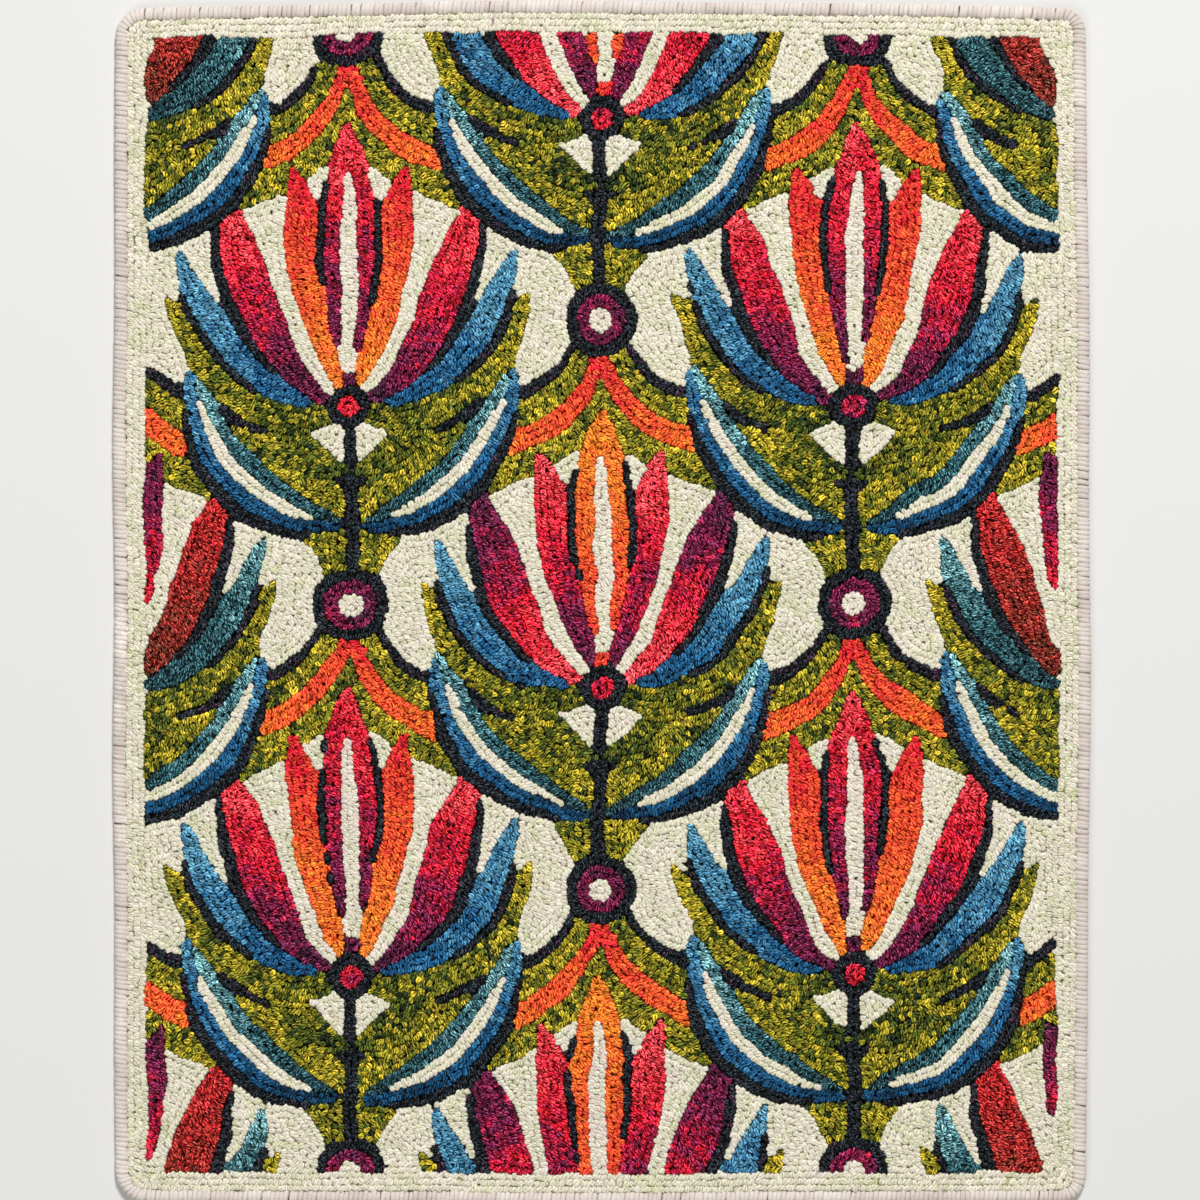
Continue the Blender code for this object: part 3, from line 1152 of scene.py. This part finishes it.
def add_camera():
    """Straight above the rug, framed as in the photo: 1200 pixels across, with the
    rug's width filling 980 of them."""
    picture = 1200
    rug_pixels = 980
    rug_centre = (602, 603)
    metre_per_pixel = (EDGE_HIGH.x - EDGE_LOW.x) / rug_pixels
    distance = 3.0
    data = bpy.data.cameras.new("camera")
    data.sensor_width = 36.0
    data.lens = data.sensor_width * distance / (picture * metre_per_pixel)
    camera = bpy.data.objects.new("camera", data)
    across = (picture / 2 - rug_centre[0]) * metre_per_pixel
    up = (rug_centre[1] - picture / 2) * metre_per_pixel
    camera.location = (across, up, distance + PILE_TOP)
    bpy.context.scene.collection.objects.link(camera)
    bpy.context.scene.camera = camera


def set_world():
    """Even pale light from all round, and colours shown as they are."""
    world = bpy.data.worlds.new("studio")
    world.use_nodes = True
    background = world.node_tree.nodes["Background"]
    background.inputs["Color"].default_value = linear(WORLD_COLOUR)
    background.inputs["Strength"].default_value = WORLD_LIGHT
    bpy.context.scene.world = world
    bpy.context.scene.view_settings.view_transform = "Standard"


# ---------------------------- make


def declare(piece, node):
    """The piece lies still with the rug, in place of one of its solids."""
    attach(piece, "root")
    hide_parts(node)


outline = outline_of("foundation")
canvas = new_canvas(outline)
paint_pattern(canvas)
drop_slivers(canvas)
loops = hooked_rows(canvas)
mottle = np.array([named(LOOK_COLUMNS, LOOKS[wool]).mottle for wool in WOOLS])[loops.wool]
blotches = wandering(*loops.place.T, *TONE_WANDER) + RNG.standard_normal(len(mottle))
loops.shown_tone = loops.tone + mottle * blotches
loops.shade = RNG.random(len(mottle))

wool_pieces = []
for number, wool in enumerate(WOOLS):
    material = wool_material(wool)
    wool_pieces += add_pile(loops, number, material)
    wool_pieces.append(add_backs(loops, number, material))
for piece in wool_pieces:
    declare(piece, "hooked_pile")

linen = linen_material()
track = edge_track(outline)
foundation = add_foundation(outline, linen)
rim = add_rim(track, linen)
whipping = add_whipping(track, whipping_material())
declare(foundation, "foundation")
declare(rim, "foundation")
declare(whipping, "whipped_edge")

add_stage()
for lamp in LAMPS:
    add_light(*lamp)
set_world()
add_camera()
